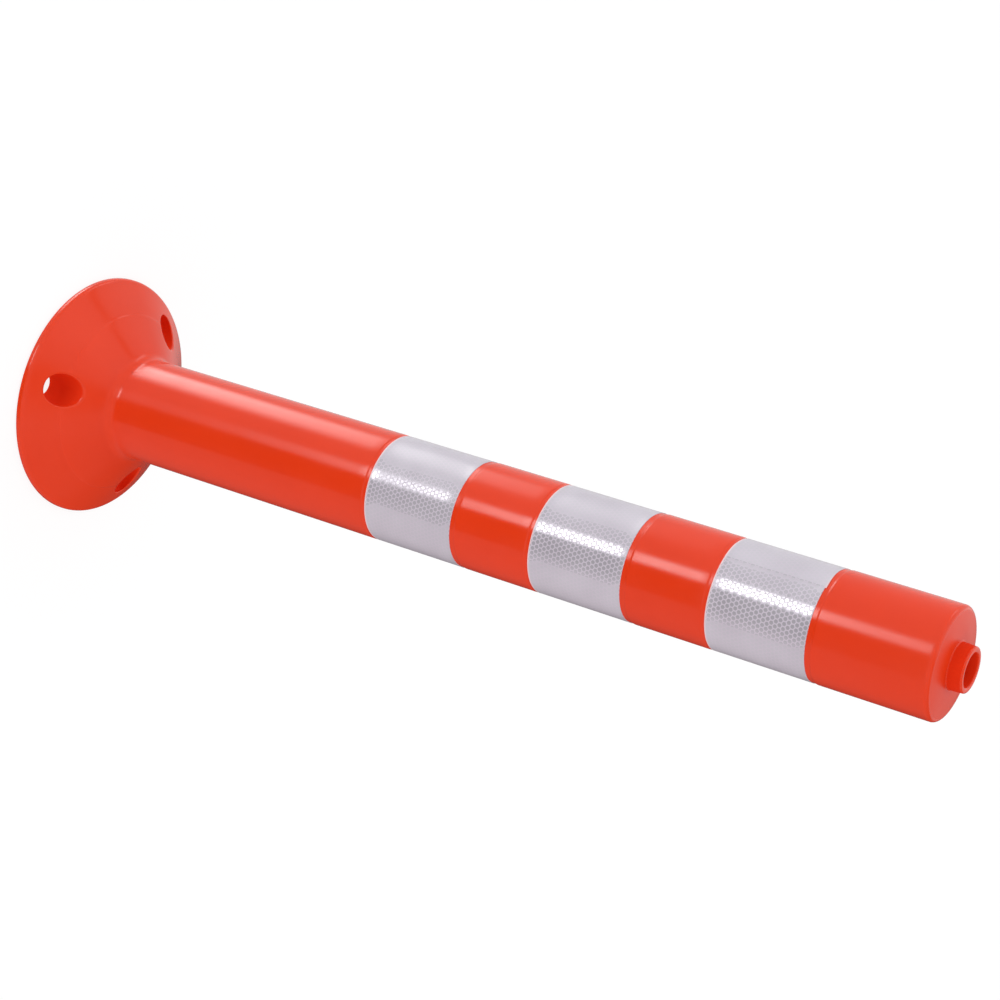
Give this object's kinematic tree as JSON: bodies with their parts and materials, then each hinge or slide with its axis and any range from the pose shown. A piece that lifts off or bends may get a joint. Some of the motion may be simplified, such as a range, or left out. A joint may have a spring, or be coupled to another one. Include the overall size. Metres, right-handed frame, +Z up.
{
  "type": "delineator post",
  "caption": "Flexible orange traffic post with a conical bolt-down foot, silver reflective bands and an open spigot head.",
  "frame": {"origin": "centre of the foot's underside", "axes": "+Z up along the post, towards the spigot; the first of the three anchor sleeves is on -Y"},
  "size_m": [0.1912, 0.1912, 0.75],
  "materials": {
    "post_plastic": "smooth glossy moulded flexible plastic, safety orange",
    "reflective_sheeting": "clear-faced silver prismatic sheeting with a honeycomb cell pattern"
  },
  "bodies": {
    "base": {"base_flange": "post_plastic"},
    "lower_bend": {"flex_root": "post_plastic"},
    "post": {"flex_neck": "post_plastic", "post_tube": "post_plastic", "post_head": "post_plastic", "reflective_band_lower": "reflective_sheeting", "reflective_band_middle": "reflective_sheeting", "reflective_band_upper": "reflective_sheeting"}
  },
  "joints": [
    {"name": "root_bend", "type": "hinge", "parent": "base", "child": "lower_bend", "pos_m": [0, 0, 0.101], "axis": [1, 0, 0], "range_deg": [-90, 90], "stiffness_Nm_per_rad": 60, "deforming": ["flex_root"]},
    {"name": "side_bend", "type": "hinge", "parent": "lower_bend", "child": "post", "pos_m": [0, 0, 0.176], "axis": [0, 1, 0], "range_deg": [-45, 45], "stiffness_Nm_per_rad": 60, "deforming": ["flex_neck"]}
  ]
}
